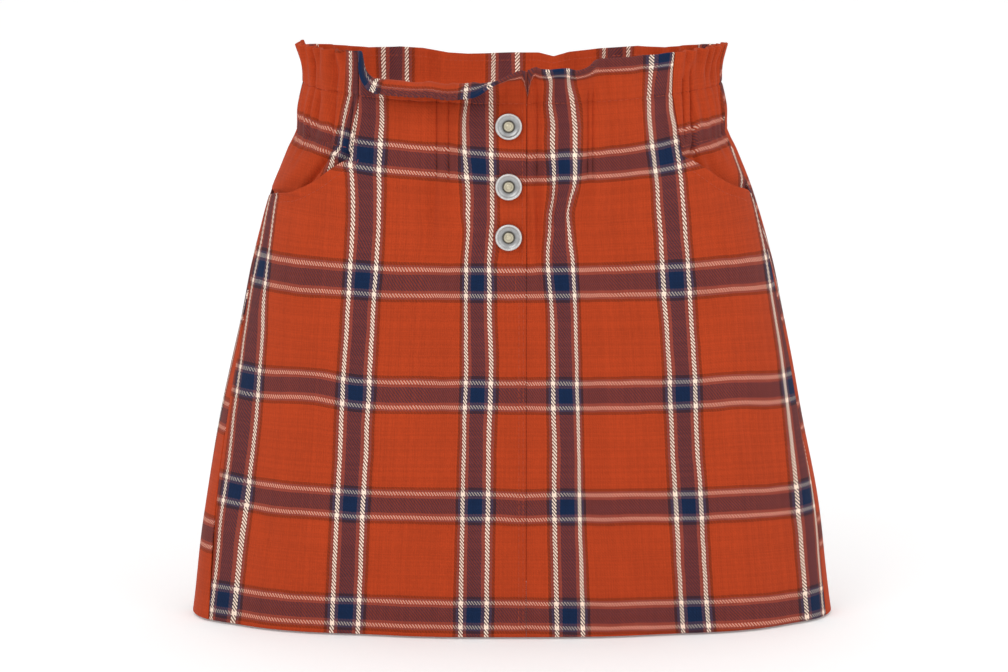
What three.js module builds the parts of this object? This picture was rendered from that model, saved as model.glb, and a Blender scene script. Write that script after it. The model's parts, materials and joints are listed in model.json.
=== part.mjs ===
// A flared skirt with a gathered waist and a standing header, filled out as if it were worn.
// Millimetres, +Z up, the front faces -Y. The origin is the middle of the waist casing.
import * as THREE from 'three'
import { mergeVertices } from 'three/addons/utils/BufferGeometryUtils.js'

// Cloth
const singleWall = 1.3
const doubledWall = 2.2
const seamGap = 0.3
const sectionRoundness = 2.2

// Rings of the body, from the hem up: the height is the one at the side seams
const rings = [
  { height: -296, halfWidth: 187.0, frontDepth: 75, backDepth: 77, frontDip: 0, backDip: 0 },
  { height: -241, halfWidth: 179.9, frontDepth: 75, backDepth: 78, frontDip: 0, backDip: 0 },
  { height: -172, halfWidth: 167.4, frontDepth: 75, backDepth: 80, frontDip: 0, backDip: 0 },
  { height: -113, halfWidth: 155.6, frontDepth: 76, backDepth: 82, frontDip: 0, backDip: 0 },
  { height: -88, halfWidth: 150.2, frontDepth: 76, backDepth: 81, frontDip: 1, backDip: 0 },
  { height: -50, halfWidth: 139.8, frontDepth: 76, backDepth: 77, frontDip: 6, backDip: 2 },
  { height: -26, halfWidth: 130.2, frontDepth: 75, backDepth: 72, frontDip: 9.5, backDip: 4 },
  { height: -13.8, halfWidth: 124.4, frontDepth: 73, backDepth: 68, frontDip: 10.5, backDip: 5 },
  { height: 0, halfWidth: 123.6, frontDepth: 72, backDepth: 67, frontDip: 8.5, backDip: 5.5 },
  { height: 13.8, halfWidth: 120.6, frontDepth: 69.5, backDepth: 64, frontDip: 6, backDip: 7.5 },
]
const upperStitch = 13.8
const lowerStitch = -13.8
const doubledFrom = -19

// The header stands above the casing: its height, and how far it leans out, from left to right
const header = [
  { x: -124, rise: 23, lean: 24 },
  { x: -112, rise: 23, lean: 12 },
  { x: -96, rise: 24, lean: 8 },
  { x: -84, rise: 25.5, lean: 16 },
  { x: -77, rise: 22.5, lean: 108 },
  { x: -70, rise: 21.5, lean: 138 },
  { x: -54, rise: 21, lean: 142 },
  { x: -38, rise: 21.5, lean: 142 },
  { x: -28, rise: 22.5, lean: 138 },
  { x: -20, rise: 23, lean: 126 },
  { x: -12, rise: 24, lean: 96 },
  { x: -4, rise: 24.5, lean: 78 },
  { x: 6, rise: 25, lean: 62 },
  { x: 20, rise: 24.5, lean: 56 },
  { x: 34, rise: 24, lean: 60 },
  { x: 42, rise: 24, lean: 46 },
  { x: 48, rise: 24, lean: 14 },
  { x: 70, rise: 24, lean: 8 },
  { x: 92, rise: 24, lean: 12 },
  { x: 124, rise: 22.5, lean: 16 },
]
const backHeader = { rise: 19, lean: 4, sideLean: 8, sideShare: 0.25 }
const rollStart = 3
const rollEnd = 17
const headerStep = 0.5

// Gathers: zones by angle from the centre front, with their depth in the casing and at the header's edge
const gathers = [
  { from: -84, to: -47, folds: 6, casing: 1.7, edge: 4.2, endsAt: -36 },
  { from: -47, to: 50, folds: 9, casing: 0.3, edge: 1.6, endsAt: -30 },
  { from: 50, to: 80, folds: 5, casing: 1.7, edge: 4.2, endsAt: -36 },
  { from: 80, to: 276, folds: 21, casing: 2.0, edge: 4.6, endsAt: -150 },
]
const gatherFade = [
  { height: -26, share: 1.25 },
  { height: -13.8, share: 0.85 },
  { height: 0, share: 1.1 },
  { height: 13.8, share: 0.8 },
]
// No two gathers are alike: they drift along the zone, and press in by different amounts
const uneven = { drift: 0.16, driftBeat: 0.37, least: 0.78, swing: 0.22, swingBeat: 2.4, fullAt: 0.2 }

// Pressed tucks in the front, which open out below the waist
const tucks = [
  { x: -74, width: 3.2, depth: 1.0, fadesAt: -70 },
  { x: -40.5, width: 2.6, depth: 1.8, fadesAt: -64 },
  { x: -33, width: 2.6, depth: 1.5, fadesAt: -52 },
  { x: 15, width: 2.8, depth: 1.8, fadesAt: -58 },
  { x: 42.5, width: 2.8, depth: 1.9, fadesAt: -62 },
  { x: 84, width: 3.2, depth: 1.0, fadesAt: -70 },
]

// Long soft flutes that the flare throws below the hips
const flutes = [
  { angle: -58, width: 9, depth: 2.2 },
  { angle: -24, width: 8, depth: 1.6 },
  { angle: 27, width: 8, depth: 1.8 },
  { angle: 60, width: 9, depth: 2.2 },
  { angle: 118, width: 12, depth: 3.2 },
  { angle: 158, width: 11, depth: 3.6 },
  { angle: 203, width: 11, depth: 3.4 },
  { angle: 243, width: 12, depth: 3.0 },
]
const fluteTop = -100

// Seams and pocket mouths
const frontSeamX = 8
const sideSeams = { left: { hip: -84, hem: -69.5 }, right: { hip: 80, hem: 78.5 } }
const seamSwingTop = -48
const hemHeight = rings[0].height
const mouth = [
  { height: -50.8, left: 1, right: 1 },
  { height: -48.2, left: 0.83, right: 0.96 },
  { height: -45.2, left: 0.53, right: 0.8 },
  { height: -41.2, left: 0.386, right: 0.55 },
  { height: -35.2, left: 0.245, right: 0.36 },
  { height: -27, left: 0.13, right: 0.19 },
  { height: -18.4, left: 0, right: 0 },
]
const mouthTop = mouth[mouth.length - 1].height
const mouthStartX = { left: -91, right: 96 }
// Above the mouth the seam between the front and the hip yoke leans in by this much at the upper stitch
const seamLean = { left: 4.5, right: -5.5 }
const gape = { depth: 1.2, low: -48.5, lowFull: -42.5, highFull: -26, startsAt: 0.8 }
const yoke = { inset: 2.4, underlap: 14, bottom: -64, underTop: -17.5, underFull: -25, nearFrom: 2, nearTo: 16 }

// Placket and buttons
const underlap = { fromX: -14, toX: 22, bottom: -92, top: 12, clearance: 0.8 }
const buttonRadius = 7.6
const buttonHeights = [3.2, -29, -62]
const buttonX = -2
const buttonLift = 0.5
const buttonReach = 5

const radians = THREE.MathUtils.degToRad
const smooth = (value, low, high) => THREE.MathUtils.smoothstep(value, low, high)

// Reads a column of a table at a place along it, with rounded steps between the rows
function read(table, along, at, column) {
  const ascending = table[table.length - 1][along] > table[0][along]
  const rows = ascending ? table : [...table].reverse()
  const last = rows.length - 1
  if (at <= rows[0][along]) return rows[0][column]
  if (at >= rows[last][along]) return rows[last][column]
  const i = rows.findIndex((row) => row[along] > at) - 1
  const slope = (k) => {
    const before = rows[Math.max(k - 1, 0)]
    const after = rows[Math.min(k + 1, last)]
    return (after[column] - before[column]) / (after[along] - before[along])
  }
  const span = rows[i + 1][along] - rows[i][along]
  const t = (at - rows[i][along]) / span
  const start = rows[i][column] * (1 + 2 * t) * (1 - t) ** 2 + slope(i) * span * t * (1 - t) ** 2
  return start + rows[i + 1][column] * t * t * (3 - 2 * t) + slope(i + 1) * span * t * t * (t - 1)
}

// The same with straight steps
function readStraight(table, along, at, column) {
  const rows = table[table.length - 1][along] > table[0][along] ? table : [...table].reverse()
  const i = rows.findIndex((row) => row[along] > at)
  if (i === 0) return rows[0][column]
  if (i < 0) return rows[rows.length - 1][column]
  const t = (at - rows[i - 1][along]) / (rows[i][along] - rows[i - 1][along])
  return THREE.MathUtils.lerp(rows[i - 1][column], rows[i][column], t)
}

// The angle at which the front of a ring reaches x
function angleAt(x, height) {
  const share = Math.min(Math.abs(x) / read(rings, 'height', height, 'halfWidth'), 1)
  const angle = Math.asin(share ** (sectionRoundness / 2))
  return THREE.MathUtils.radToDeg(angle) * Math.sign(x)
}

// Point, outward direction and depth share of the smooth ring, with no folds
function ringPoint(angle, height) {
  const turn = radians(angle)
  const isFront = Math.cos(turn) > 0
  const halfWidth = read(rings, 'height', height, 'halfWidth')
  const depth = read(rings, 'height', height, isFront ? 'frontDepth' : 'backDepth')
  const dip = read(rings, 'height', height, isFront ? 'frontDip' : 'backDip')
  const power = 2 / sectionRoundness
  const acrossShare = Math.abs(Math.sin(turn)) ** power
  const depthShare = Math.abs(Math.cos(turn)) ** power
  const side = Math.sign(Math.sin(turn))
  const facing = isFront ? -1 : 1
  const out = new THREE.Vector3(
    (side * acrossShare ** (sectionRoundness - 1)) / halfWidth,
    (facing * depthShare ** (sectionRoundness - 1)) / depth,
    0,
  ).normalize()
  const point = new THREE.Vector3(
    side * halfWidth * acrossShare,
    facing * depth * depthShare,
    height - dip * Math.cos(turn) ** 2,
  )
  return { point, out }
}

// How deep the gathers press in at a place: rise is the distance up the header
function gatherDepth(angle, height, rise, riseFull) {
  const turn = angle < gathers[0].from ? angle + 360 : angle
  const zone = gathers.find((row) => turn >= row.from && turn <= row.to) ?? gathers[gathers.length - 1]
  const t = THREE.MathUtils.clamp((turn - zone.from) / (zone.to - zone.from), 0, 1)
  const drift = uneven.drift * Math.sin(Math.PI * t) * Math.sin(2 * Math.PI * zone.folds * uneven.driftBeat * t)
  const phase = zone.folds * t + drift
  const fold = Math.floor(phase)
  const vary = uneven.least + uneven.swing * Math.sin(uneven.swingBeat * fold + zone.from)
  const press = 0.5 - 0.5 * Math.cos(2 * Math.PI * phase)
  const fade = smooth(height, zone.endsAt, zone.endsAt * uneven.fullAt)
  const share = read(gatherFade, 'height', height, 'share') * fade
  const up = smooth(rise, 0, riseFull)
  return press * vary * THREE.MathUtils.lerp(zone.casing * share, zone.edge, up)
}

// How deep the tucks and flutes press in below the header
function frontDepthAt(x, angle, height) {
  let press = 0
  for (const tuck of tucks) {
    const isFront = Math.abs(angle) < 90
    const fade = smooth(height, tuck.fadesAt, lowerStitch)
    if (isFront) press += tuck.depth * fade * Math.exp(-(((x - tuck.x) / tuck.width) ** 2))
  }
  for (const flute of flutes) {
    const turn = flute.angle > 90 && angle < -90 ? angle + 360 : angle
    const down = smooth(-height, -fluteTop, -hemHeight)
    press += flute.depth * down * Math.exp(-(((turn - flute.angle) / flute.width) ** 2))
  }
  return press
}

// The header's path above the upper stitch, outward and up, and the way it faces at its end
function headerPath(lean, rise) {
  const path = { out: 0, up: 0, tilt: 0 }
  for (let run = headerStep / 2; run < rise; run += headerStep) {
    path.tilt = radians(lean) * smooth(run, rollStart, rollEnd)
    path.out += headerStep * Math.sin(path.tilt)
    path.up += headerStep * Math.cos(path.tilt)
  }
  return path
}

// A point of the cloth: level is { height } on the body or { height, climb } on the header,
// with climb from 0 to 1; inset is the distance in from the outer face
function clothPoint(angle, level, inset) {
  const { point, out } = ringPoint(angle, level.height)
  const isFront = Math.cos(radians(angle)) > 0
  const climb = level.climb ?? 0
  const riseFull = isFront ? readStraight(header, 'x', point.x, 'rise') : backHeader.rise
  const leanFront = read(header, 'x', point.x, 'lean')
  const sideShare = smooth(Math.abs(Math.cos(radians(angle))), 0, backHeader.sideShare)
  const lean = isFront ? leanFront : THREE.MathUtils.lerp(backHeader.sideLean, backHeader.lean, sideShare)
  const path = headerPath(lean, riseFull * climb)
  const press =
    gatherDepth(angle, level.height, riseFull * climb, riseFull) +
    frontDepthAt(point.x, angle, level.height) * (1 - climb)
  const outward = path.out - press * Math.cos(path.tilt) - inset * Math.cos(path.tilt)
  const upward = path.up + (press + inset) * Math.sin(path.tilt)
  return point.addScaledVector(out, outward).setZ(point.z + upward)
}

function wallAt(height) {
  return THREE.MathUtils.lerp(singleWall, doubledWall, smooth(height, doubledFrom, lowerStitch))
}

function sideSeam(side, height) {
  const swing = THREE.MathUtils.clamp((seamSwingTop - height) / (seamSwingTop - hemHeight), 0, 1)
  return THREE.MathUtils.lerp(sideSeams[side].hip, sideSeams[side].hem, swing)
}

// The angle that half the seam gap takes at a place
const probeAngle = 0.5
function halfGapAngle(angle, height) {
  const near = ringPoint(angle, height).point
  const far = ringPoint(angle + probeAngle, height).point
  return (0.5 * seamGap * probeAngle) / near.distanceTo(far)
}

// Where the seam above the pocket mouth stands
function seamStart(side, height) {
  const up = THREE.MathUtils.clamp((height - mouthTop) / (upperStitch - mouthTop), 0, 1)
  return mouthStartX[side] + seamLean[side] * up
}

// The edge of a front panel on its side: the seam, the pocket mouth, then the line up to the header
function frontSideEdge(side, height) {
  const seam = sideSeam(side, height)
  const start = angleAt(seamStart(side, height), Math.max(height, mouthTop))
  if (height <= mouth[0].height) return seam
  const across = readStraight(mouth, 'height', height, side)
  return THREE.MathUtils.lerp(start, seam, across)
}

// A closed wall of cloth over a grid of columns and levels
function clothWall(columns, levels, placeAt) {
  const grid = new THREE.BoxGeometry(1, 1, 1, columns, levels.length - 1, 1)
  grid.deleteAttribute('normal')
  grid.deleteAttribute('uv')
  const wall = mergeVertices(grid)
  const places = wall.attributes.position
  for (let i = 0; i < places.count; i += 1) {
    const across = Math.round((places.getX(i) + 0.5) * columns) / columns
    const level = levels[Math.round((places.getY(i) + 0.5) * (levels.length - 1))]
    const isFace = places.getZ(i) > 0
    const point = placeAt(across, level, isFace)
    places.setXYZ(i, point.x, point.y, point.z)
  }
  return wall
}

const bodyLevels = [-296, -256, -214, -172, -134, -100, -76, -60]
const mouthLevels = mouth.map((row) => row.height)
const casingLevels = [lowerStitch, -4, 6, upperStitch]
const asLevels = (heights) => heights.map((height) => ({ height }))
const climbs = (count) =>
  Array.from({ length: count }, (_, i) => ({ height: upperStitch, climb: (i + 1) / count }))

function frontPanel(side) {
  const levels = [...asLevels([...bodyLevels, ...mouthLevels, ...casingLevels]), ...climbs(6)]
  return clothWall(25, levels, (across, level, isFace) => {
    const centre = angleAt(frontSeamX, level.height)
    const edge = frontSideEdge(side, level.height)
    const low = side === 'left' ? edge : centre
    const high = side === 'left' ? centre : edge
    const trimLow = halfGapAngle(low, level.height)
    const trimHigh = halfGapAngle(high, level.height)
    const angle = THREE.MathUtils.lerp(low + trimLow, high - trimHigh, across)
    const nearEdge = side === 'left' ? 1 - across : across
    const rises = smooth(level.height, gape.low, gape.lowFull)
    const falls = smooth(level.height, gape.highFull, mouthTop)
    const lift = gape.depth * rises * (1 - falls) * smooth(nearEdge, gape.startsAt, 1)
    return clothPoint(angle, level, (isFace ? 0 : wallAt(level.height)) - lift)
  })
}

// The side piece that carries the casing beside the front and backs the pocket mouth
function hipYoke(side) {
  const heights = [yoke.bottom, -54, -46.5, -38, -30, yoke.underFull, -21, yoke.underTop, ...casingLevels]
  const levels = [...asLevels(heights), ...climbs(4)]
  const sign = side === 'left' ? -1 : 1
  return clothWall(20, levels, (across, level, isFace) => {
    const seamLine = sideSeam(side, level.height)
    const seam = seamLine - sign * halfGapAngle(seamLine, level.height)
    const under = smooth(-level.height, -yoke.underTop, -yoke.underFull)
    const startX = seamStart(side, level.height) + sign * (seamGap * 0.5 - under * yoke.underlap)
    const startLine = angleAt(startX, level.height)
    const start = startLine + sign * halfGapAngle(startLine, level.height)
    const low = side === 'left' ? seam : start
    const high = side === 'left' ? start : seam
    const angle = THREE.MathUtils.lerp(low, high, across)
    const edge = frontSideEdge(side, level.height)
    const pastEdge = Math.abs(angle) - Math.abs(edge)
    const nearFront = 1 - smooth(pastEdge, yoke.nearFrom, yoke.nearTo)
    const inset = yoke.inset * nearFront * smooth(-level.height, -lowerStitch, -yoke.underTop)
    const thickness = level.height < lowerStitch ? singleWall : wallAt(level.height)
    return clothPoint(angle, level, inset + (isFace ? 0 : thickness))
  })
}

function backPanel() {
  const heights = [-296, -240, -180, -128, -84, -50, -30, -20, ...casingLevels]
  const levels = [...asLevels(heights), ...climbs(3)]
  return clothWall(84, levels, (across, level, isFace) => {
    const right = sideSeam('right', level.height)
    const left = sideSeam('left', level.height) + 360
    const low = right + halfGapAngle(right, level.height)
    const high = left - halfGapAngle(left, level.height)
    const angle = THREE.MathUtils.lerp(low, high, across)
    return clothPoint(angle, level, isFace ? 0 : wallAt(level.height))
  })
}

// The strip under the buttoned edge, behind both front panels
function placketUnderlap() {
  const levels = asLevels([underlap.bottom, -66, -42, -26, lowerStitch, 0, underlap.top])
  return clothWall(6, levels, (across, level, isFace) => {
    const x = THREE.MathUtils.lerp(underlap.fromX, underlap.toX, across)
    const behind = wallAt(level.height) + underlap.clearance
    return clothPoint(angleAt(x, level.height), level, behind + (isFace ? 0 : singleWall))
  })
}

// A dished metal button with a raised rim and a capped middle, lying on the cloth
function button() {
  const profile = [
    [0, 0],
    [7.0, 0],
    [buttonRadius, 1.4],
    [6.8, 2.6],
    [4.6, 1.5],
    [3.4, 1.6],
    [2.4, 2.6],
    [0, 2.7],
  ].map(([radius, along]) => new THREE.Vector2(radius, along))
  const lathe = new THREE.LatheGeometry(profile, 20)
  lathe.deleteAttribute('normal')
  lathe.deleteAttribute('uv')
  return mergeVertices(lathe)
}

const plaid = new THREE.MeshStandardMaterial({ color: 0xb8482a, roughness: 0.9, metalness: 0 })
const pewter = new THREE.MeshStandardMaterial({ color: 0x9d9b95, roughness: 0.35, metalness: 1 })

const skirt = new THREE.Group()

function add(name, geometry, material) {
  const mesh = new THREE.Mesh(geometry, material)
  mesh.name = name
  skirt.add(mesh)
  return mesh
}

add('front_left', frontPanel('left'), plaid)
add('front_right', frontPanel('right'), plaid)
add('hip_yoke_left', hipYoke('left'), plaid)
add('hip_yoke_right', hipYoke('right'), plaid)
add('back', backPanel(), plaid)
add('placket_underlap', placketUnderlap(), plaid)

buttonHeights.forEach((height, i) => {
  const angle = angleAt(buttonX, height)
  const seat = clothPoint(angle, { height }, -seamGap)
  const above = clothPoint(angle, { height: height + buttonReach }, -seamGap)
  const below = clothPoint(angle, { height: height - buttonReach }, -seamGap)
  const up = above.sub(below).normalize()
  const out = ringPoint(angle, height).out.cross(up).cross(up).negate().normalize()
  const mesh = add(`button_${i + 1}`, button(), pewter)
  mesh.position.copy(seat).addScaledVector(out, buttonLift)
  mesh.quaternion.setFromUnitVectors(new THREE.Vector3(0, 1, 0), out)
})

export default skirt
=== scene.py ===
import json
import math

import bpy
import numpy as np
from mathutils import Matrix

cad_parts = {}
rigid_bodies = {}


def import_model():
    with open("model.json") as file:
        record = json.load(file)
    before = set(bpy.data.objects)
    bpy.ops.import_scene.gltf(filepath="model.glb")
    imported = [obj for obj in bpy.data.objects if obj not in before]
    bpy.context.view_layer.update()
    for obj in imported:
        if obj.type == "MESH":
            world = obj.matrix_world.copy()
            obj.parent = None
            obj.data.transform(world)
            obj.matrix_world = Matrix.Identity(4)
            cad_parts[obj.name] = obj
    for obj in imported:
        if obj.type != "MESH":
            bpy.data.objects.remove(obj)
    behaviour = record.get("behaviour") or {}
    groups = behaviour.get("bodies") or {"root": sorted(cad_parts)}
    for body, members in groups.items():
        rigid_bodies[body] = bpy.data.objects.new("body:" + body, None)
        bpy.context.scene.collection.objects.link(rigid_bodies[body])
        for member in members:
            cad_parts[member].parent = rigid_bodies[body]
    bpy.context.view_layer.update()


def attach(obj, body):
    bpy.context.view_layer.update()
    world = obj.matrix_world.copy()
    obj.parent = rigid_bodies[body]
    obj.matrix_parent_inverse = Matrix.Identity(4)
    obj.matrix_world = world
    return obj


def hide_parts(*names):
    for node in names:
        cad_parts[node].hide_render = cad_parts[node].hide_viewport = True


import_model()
scene = bpy.context.scene
mm = 0.001

# The photo's camera: near, and a little above the skirt
camera = {"target": (-4.6, 0.0, -134.3), "distance": 2400.0, "rise": 9.0, "lens": 147.78, "sensor": 36.0}
studio = {
    "floorGap": 1.2, "floorReach": 20000.0, "floorGlow": 0.16, "world": 0.9,
    "key": 9.0, "fill": 4.0, "inside": 0.10,
}


def addCamera():
    rise = math.radians(camera["rise"])
    data = bpy.data.cameras.new("photoCamera")
    data.lens = camera["lens"]
    data.sensor_width = camera["sensor"]
    data.clip_end = 60.0
    eye = bpy.data.objects.new("photoCamera", data)
    x, y, z = camera["target"]
    away = camera["distance"]
    eye.location = (x * mm, (y - away * math.cos(rise)) * mm, (z + away * math.sin(rise)) * mm)
    eye.rotation_euler = (math.pi / 2 - rise, 0.0, 0.0)
    scene.collection.objects.link(eye)
    scene.camera = eye


addCamera()
scene.view_settings.view_transform = "Standard"
print("camera ready")


def columns(names, rows):
    return {name: np.array([row[i] for row in rows], float) for i, name in enumerate(names.split())}


signs = {"left": -1, "right": 1}
# The skirt's own sizes in millimetres, the same as the CAD's
rings = columns("height halfWidth frontDepth backDepth frontDip backDip", [
    (-296, 187.0, 75, 77, 0, 0),
    (-241, 179.9, 75, 78, 0, 0),
    (-172, 167.4, 75, 80, 0, 0),
    (-113, 155.6, 76, 82, 0, 0),
    (-88, 150.2, 76, 81, 1, 0),
    (-50, 139.8, 76, 77, 6, 2),
    (-26, 130.2, 75, 72, 9.5, 4),
    (-13.8, 124.4, 73, 68, 10.5, 5),
    (0, 123.6, 72, 67, 8.5, 5.5),
    (13.8, 120.6, 69.5, 64, 6, 7.5),
])
header = columns("x rise lean", [
    (-124, 23, 24), (-112, 23, 12), (-96, 24, 8), (-84, 25.5, 16), (-77, 22.5, 108), (-70, 21.5, 138),
    (-54, 21, 142), (-38, 21.5, 142), (-28, 22.5, 138), (-20, 23, 126), (-12, 24, 96), (-4, 24.5, 78),
    (6, 25, 62), (20, 24.5, 56), (34, 24, 60), (42, 24, 46), (48, 24, 14), (70, 24, 8), (92, 24, 12),
    (124, 22.5, 16),
])
backHeader = {"rise": 19.0, "lean": 4.0, "sideLean": 8.0, "sideShare": 0.25}
backEdge = columns("x rise", [
    (-120, 20.5), (-84, 19.5), (-66, 20.8), (-52, 20.4), (-38, 18.2), (-26, 17.6), (0, 18.6), (16, 18.4),
    (25, 16.2), (34, 18.6), (52, 20.2), (74, 20.8), (90, 19.2), (120, 20.5),
])
gathers = columns("start end folds casing edge endsAt", [
    (-84, -47, 6, 1.7, 4.2, -36), (-47, 50, 9, 0.3, 1.6, -30),
    (50, 80, 5, 1.7, 4.2, -36), (80, 276, 21, 2.0, 4.6, -150),
])
gatherFade = columns("height share", [(-26, 1.25), (-13.8, 0.85), (0, 1.1), (13.8, 0.8)])
# Pressed tucks: a sharp line in the casing that opens into a soft fold below it
tucks = columns("x width depth line fadesAt", [
    (-80, 4.0, 0.5, 0.4, -60), (-42.6, 3.4, 1.3, 4.6, -64), (-35.8, 3.0, 1.0, 4.2, -50),
    (14.0, 3.4, 1.4, 4.2, -66), (42.6, 3.0, 1.2, 4.6, -58), (45.6, 2.6, 0.7, 4.2, -48),
    (86, 4.0, 0.5, 0.4, -60),
])
tuckLine = {"width": 0.36, "low": -30.0, "full": -12.0}
# The casing's stitching draws a fine groove round the waist; the lower line leaves out the front's middle
groove = {"depth": 0.55, "width": 0.85, "sides": (42.0, 50.0)}
flutes = columns("angle width depth", [
    (-58, 9, 2.2), (-24, 8, 1.6), (27, 8, 1.8), (60, 9, 2.2),
    (118, 12, 3.2), (158, 11, 3.6), (203, 11, 3.4), (243, 12, 3.0),
])
mouth = columns("height left right", [
    (-50.8, 1, 1), (-48.2, 0.83, 0.96), (-45.2, 0.53, 0.8), (-41.2, 0.386, 0.55), (-35.2, 0.245, 0.36),
    (-27, 0.13, 0.19), (-18.4, 0, 0),
])
cut = {
    "roundness": 2.2, "hem": -296.0, "upperStitch": 13.8, "lowerStitch": -13.8, "fluteTop": -100.0,
    "rollStart": 3.0, "rollEnd": 17.0, "seamX": 8.0, "seamShown": 0.06, "swingTop": -48.0,
    "hip": {"left": -84.0, "right": 80.0}, "hemSeam": {"left": -69.5, "right": 78.5},
    "mouthX": {"left": -91.0, "right": 96.0}, "seamLean": {"left": 4.5, "right": -5.5},
    "yokeInset": 2.4, "yokeUnder": 14.0, "headerRise": 24.0, "rimRise": 23.0,
    "hemEnds": (-282.0, -272.0), "casingStarts": (-17.0, -13.8),
}


def smooth(value, low, high):
    t = np.clip((value - low) / (high - low), 0, 1)
    return t * t * (3 - 2 * t)


def mix(low, high, share):
    return low + (high - low) * share


# One between two places, with a soft end inside each
def between(value, low, high, soft):
    return smooth(value, low, low + soft) * (1 - smooth(value, high - soft, high))


# Reads a column at a place along the table, with rounded steps
def read(table, along, at, column):
    x, y = table[along], table[column]
    last = len(x) - 1
    ahead = np.minimum(np.arange(last + 1) + 1, last)
    behind = np.maximum(np.arange(last + 1) - 1, 0)
    slope = (y[ahead] - y[behind]) / (x[ahead] - x[behind])
    at = np.clip(at, x[0], x[-1])
    i = np.clip(np.searchsorted(x, at, side="right") - 1, 0, last - 1)
    span = x[i + 1] - x[i]
    t = (at - x[i]) / span
    low = y[i] * (1 + 2 * t) * (1 - t) ** 2 + slope[i] * span * t * (1 - t) ** 2
    return low + y[i + 1] * t * t * (3 - 2 * t) + slope[i + 1] * span * t * t * (t - 1)


def angleAt(x, height):
    share = np.minimum(np.abs(x) / read(rings, "height", height, "halfWidth"), 1)
    return np.degrees(np.arcsin(share ** (cut["roundness"] / 2))) * np.sign(x)


def ringPoint(angle, height):
    turn = np.radians(angle)
    isFront = np.cos(turn) > 0
    halfWidth = read(rings, "height", height, "halfWidth")
    front = [read(rings, "height", height, name) for name in ("frontDepth", "frontDip")]
    back = [read(rings, "height", height, name) for name in ("backDepth", "backDip")]
    depth, dip = [np.where(isFront, ahead, behind) for ahead, behind in zip(front, back)]
    power = 2 / cut["roundness"]
    across, deep = np.abs(np.sin(turn)) ** power, np.abs(np.cos(turn)) ** power
    toSide, toBack = np.sign(np.sin(turn)), np.where(isFront, -1.0, 1.0)
    outX = toSide * across ** (cut["roundness"] - 1) / halfWidth
    outY = toBack * deep ** (cut["roundness"] - 1) / depth
    size = np.hypot(outX, outY)
    point = [toSide * halfWidth * across, toBack * depth * deep, height - dip * np.cos(turn) ** 2]
    return point, (outX / size, outY / size)


def gatherDepth(angle, height, rise, riseFull):
    turn = np.where(angle < gathers["start"][0], angle + 360, angle)
    zone = np.clip(np.searchsorted(gathers["start"], turn, side="right") - 1, 0, 3)
    row = {name: gathers[name][zone] for name in gathers}
    t = np.clip((turn - row["start"]) / (row["end"] - row["start"]), 0, 1)
    drift = 0.16 * np.sin(np.pi * t) * np.sin(2 * np.pi * row["folds"] * 0.37 * t)
    phase = row["folds"] * t + drift
    vary = 0.78 + 0.22 * np.sin(2.4 * np.floor(phase) + row["start"])
    press = 0.5 - 0.5 * np.cos(2 * np.pi * phase)
    share = read(gatherFade, "height", height, "share") * smooth(height, row["endsAt"], row["endsAt"] * 0.2)
    return press * vary * mix(row["casing"] * share, row["edge"], smooth(rise, 0, riseFull))


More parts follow.
